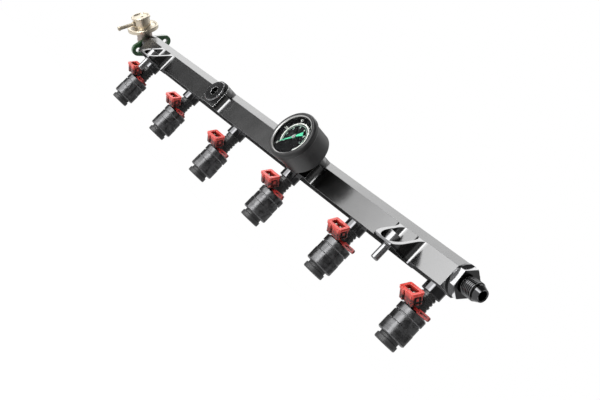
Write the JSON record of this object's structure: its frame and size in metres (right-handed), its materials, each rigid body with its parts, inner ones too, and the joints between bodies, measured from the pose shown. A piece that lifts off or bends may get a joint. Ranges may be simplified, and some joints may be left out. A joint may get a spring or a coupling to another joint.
{
  "type": "fuel rail",
  "caption": "Square-bar fuel rail with mount ears, clipped injectors in seal adapters, dial pressure gauge, port plug, threaded inlet and diaphragm regulator.",
  "frame": {"origin": "midway between the two mount studs, on the seat plane of the ears", "axes": "+X along the rail to the inlet fitting, +Z from the injectors to the rail, -Y out of the face with the gauge"},
  "size_m": [0.5782, 0.075, 0.0947],
  "materials": {
    "rail_anodised": "satin black anodised",
    "bolt_steel": "bright",
    "plug_anodised": "gloss black anodised",
    "rubber": "satin",
    "fitting_anodised": "gloss black anodised",
    "gauge_black": "satin black",
    "gauge_brass": "plain",
    "dial": "matt black with pale print",
    "lens": "clear",
    "needle": "pale green",
    "injector_black": "black",
    "socket_red": "red",
    "clip_red": "red",
    "adapter_anodised": "satin black anodised",
    "pin_metal": "plated",
    "regulator_gold": "yellow zinc plated",
    "regulator_steel": "dull zinc",
    "flange_green": "gloss dark green",
    "nipple_brass": "plated"
  },
  "bodies": {
    "rail": {"gauge_bezel": "gauge_black", "gauge_case": "gauge_black", "gauge_dial": "dial", "gauge_lens": "lens", "gauge_movement": "gauge_brass", "gauge_stem": "gauge_brass", "gauge_tube": "gauge_brass", "injector_1_adapter": "adapter_anodised", "injector_1_body": "injector_black", "injector_1_clip": "clip_red", "injector_1_socket": "socket_red", "injector_2_adapter": "adapter_anodised", "injector_2_body": "injector_black", "injector_2_clip": "clip_red", "injector_2_socket": "socket_red", "injector_3_adapter": "adapter_anodised", "injector_3_body": "injector_black", "injector_3_clip": "clip_red", "injector_3_socket": "socket_red", "injector_4_adapter": "adapter_anodised", "injector_4_body": "injector_black", "injector_4_clip": "clip_red", "injector_4_socket": "socket_red", "injector_5_adapter": "adapter_anodised", "injector_5_body": "injector_black", "injector_5_clip": "clip_red", "injector_5_socket": "socket_red", "injector_6_adapter": "adapter_anodised", "injector_6_body": "injector_black", "injector_6_clip": "clip_red", "injector_6_socket": "socket_red", "injector_pins": "pin_metal", "injector_seals": "rubber", "injector_top_o_rings": "rubber", "inlet_fitting": "fitting_anodised", "inlet_o_ring": "rubber", "mount_bolt_far": "bolt_steel", "mount_bolt_near": "bolt_steel", "port_plug": "plug_anodised", "port_plug_o_ring": "rubber", "rail_body": "rail_anodised", "regulator_adapter": "fitting_anodised", "regulator_adapter_o_ring": "rubber", "regulator_body": "regulator_steel", "regulator_can": "regulator_gold", "regulator_disc": "regulator_gold", "regulator_flange": "flange_green", "return_outlet": "nipple_brass", "vacuum_nipple": "nipple_brass"},
    "pointer": {"gauge_needle": "needle"}
  },
  "joints": [
    {"name": "pointer_turn", "type": "hinge", "parent": "rail", "child": "pointer", "pos_m": [0.0815, -0.0235, 0.019], "axis": [0, 1, 0], "range_deg": [0, 270], "stiffness_Nm_per_rad": 0.0002}
  ]
}
